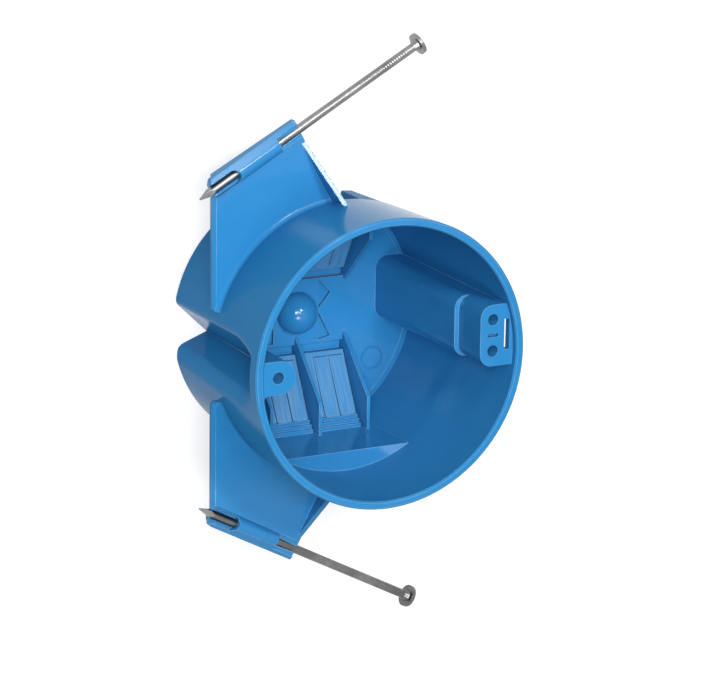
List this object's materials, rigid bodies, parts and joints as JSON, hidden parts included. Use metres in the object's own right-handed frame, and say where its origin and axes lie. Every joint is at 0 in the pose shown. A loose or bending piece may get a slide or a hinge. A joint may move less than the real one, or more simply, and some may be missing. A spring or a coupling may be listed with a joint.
{
  "type": "ceiling electrical box",
  "caption": "Round moulded plastic ceiling box with side nail flanges and captive nails, screw posts for a fixture and hinged cable flaps in its back.",
  "frame": {"origin": "centre of the outer face of the back, which the box rests on", "axes": "+Z along the box's axis from the back to the open mouth, -X towards the joist that the flanges are nailed to, +Y towards the flange whose nail is the upper one in the picture"},
  "size_m": [0.0906, 0.1788, 0.0657],
  "materials": {
    "box_plastic": "smooth glossy blue moulding",
    "nail_steel": "bright drawn wire"
  },
  "bodies": {
    "root": {"box_body": "box_plastic", "nail_upper": "nail_steel", "nail_lower": "nail_steel"}
  },
  "joints": []
}
